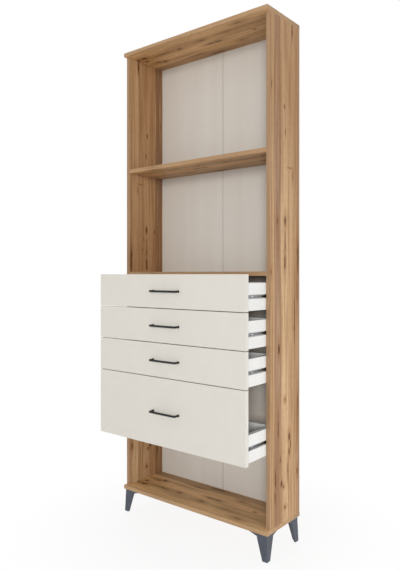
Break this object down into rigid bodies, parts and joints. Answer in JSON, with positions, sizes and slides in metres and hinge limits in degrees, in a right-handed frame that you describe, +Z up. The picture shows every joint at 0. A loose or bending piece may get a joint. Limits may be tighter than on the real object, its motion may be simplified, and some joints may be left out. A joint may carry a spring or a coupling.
{
  "type": "bookcase with bottom drawers",
  "caption": "Tall narrow oak-look bookcase on corner feet, with open shelves, cream overlay drawers with bow handles on ball runners, and an open niche at the bottom.",
  "frame": {"origin": "on the floor, under the centre of the top and bottom boards", "axes": "+Z up, the front with the drawers faces -Y, +X to the right seen from the front"},
  "size_m": [0.736, 0.3938, 1.996],
  "materials": {
    "oak_decor_board": "matt oak-look melamine",
    "cream_front": "satin cream lacquered board",
    "white_box_board": "matt white melamine",
    "beige_back": "printed hardboard, matt",
    "back_strip": "extruded plastic",
    "grey_foot_plastic": "moulded, fine grain",
    "anthracite_handle": "satin powder coat",
    "zinc_runner": "zinc plated sheet",
    "zinc_fastener": "zinc plated",
    "black_cage_plastic": "moulded"
  },
  "bodies": {
    "carcass": {"top_panel": "oak_decor_board", "bottom_panel": "oak_decor_board", "left_side_panel": "oak_decor_board", "right_side_panel": "oak_decor_board", "upper_shelf": "oak_decor_board", "drawer_bay_shelf": "oak_decor_board", "left_back_panel": "beige_back", "right_back_panel": "beige_back", "back_joint_strip": "back_strip", "front_left_foot": "grey_foot_plastic", "front_right_foot": "grey_foot_plastic", "rear_left_foot": "grey_foot_plastic", "rear_right_foot": "grey_foot_plastic", "foot_screws": "zinc_fastener", "carcass_screws": "zinc_fastener", "shelf_cams": "zinc_fastener", "shelf_bolts": "zinc_fastener", "back_nails": "zinc_fastener", "cabinet_runners": "zinc_runner", "cabinet_runner_screws": "zinc_fastener"},
    "drawer_1": {"drawer_1_front": "cream_front", "drawer_1_left_side": "white_box_board", "drawer_1_right_side": "white_box_board", "drawer_1_back": "white_box_board", "drawer_1_bottom": "white_box_board", "drawer_1_handle": "anthracite_handle", "drawer_1_handle_screws": "zinc_fastener", "drawer_1_slides": "zinc_runner", "drawer_1_slide_screws": "zinc_fastener"},
    "drawer_1_cages": {"drawer_1_ball_cages": "black_cage_plastic"},
    "drawer_2": {"drawer_2_front": "cream_front", "drawer_2_left_side": "white_box_board", "drawer_2_right_side": "white_box_board", "drawer_2_back": "white_box_board", "drawer_2_bottom": "white_box_board", "drawer_2_handle": "anthracite_handle", "drawer_2_handle_screws": "zinc_fastener", "drawer_2_slides": "zinc_runner", "drawer_2_slide_screws": "zinc_fastener"},
    "drawer_2_cages": {"drawer_2_ball_cages": "black_cage_plastic"},
    "drawer_3": {"drawer_3_front": "cream_front", "drawer_3_left_side": "white_box_board", "drawer_3_right_side": "white_box_board", "drawer_3_back": "white_box_board", "drawer_3_bottom": "white_box_board", "drawer_3_handle": "anthracite_handle", "drawer_3_handle_screws": "zinc_fastener", "drawer_3_slides": "zinc_runner", "drawer_3_slide_screws": "zinc_fastener"},
    "drawer_3_cages": {"drawer_3_ball_cages": "black_cage_plastic"},
    "drawer_4": {"drawer_4_front": "cream_front", "drawer_4_left_side": "white_box_board", "drawer_4_right_side": "white_box_board", "drawer_4_back": "white_box_board", "drawer_4_bottom": "white_box_board", "drawer_4_handle": "anthracite_handle", "drawer_4_handle_screws": "zinc_fastener", "drawer_4_slides": "zinc_runner", "drawer_4_slide_screws": "zinc_fastener"},
    "drawer_4_cages": {"drawer_4_ball_cages": "black_cage_plastic"}
  },
  "joints": [
    {"name": "drawer_1_slide", "type": "slide", "parent": "carcass", "child": "drawer_1", "axis": [0, -1, 0], "range_m": [-0.134, 0]},
    {"name": "drawer_1_cage_slide", "type": "slide", "parent": "carcass", "child": "drawer_1_cages", "axis": [0, -1, 0], "range_m": [-0.067, 0]},
    {"name": "drawer_2_slide", "type": "slide", "parent": "carcass", "child": "drawer_2", "axis": [0, -1, 0], "range_m": [-0.134, 0]},
    {"name": "drawer_2_cage_slide", "type": "slide", "parent": "carcass", "child": "drawer_2_cages", "axis": [0, -1, 0], "range_m": [-0.067, 0]},
    {"name": "drawer_3_slide", "type": "slide", "parent": "carcass", "child": "drawer_3", "axis": [0, -1, 0], "range_m": [-0.134, 0]},
    {"name": "drawer_3_cage_slide", "type": "slide", "parent": "carcass", "child": "drawer_3_cages", "axis": [0, -1, 0], "range_m": [-0.067, 0]},
    {"name": "drawer_4_slide", "type": "slide", "parent": "carcass", "child": "drawer_4", "axis": [0, -1, 0], "range_m": [-0.134, 0]},
    {"name": "drawer_4_cage_slide", "type": "slide", "parent": "carcass", "child": "drawer_4_cages", "axis": [0, -1, 0], "range_m": [-0.067, 0]}
  ],
  "couplings": [
    {"joint": "drawer_1_cage_slide", "follows": "drawer_1_slide", "ratio": 0.5},
    {"joint": "drawer_2_cage_slide", "follows": "drawer_2_slide", "ratio": 0.5},
    {"joint": "drawer_3_cage_slide", "follows": "drawer_3_slide", "ratio": 0.5},
    {"joint": "drawer_4_cage_slide", "follows": "drawer_4_slide", "ratio": 0.5}
  ]
}
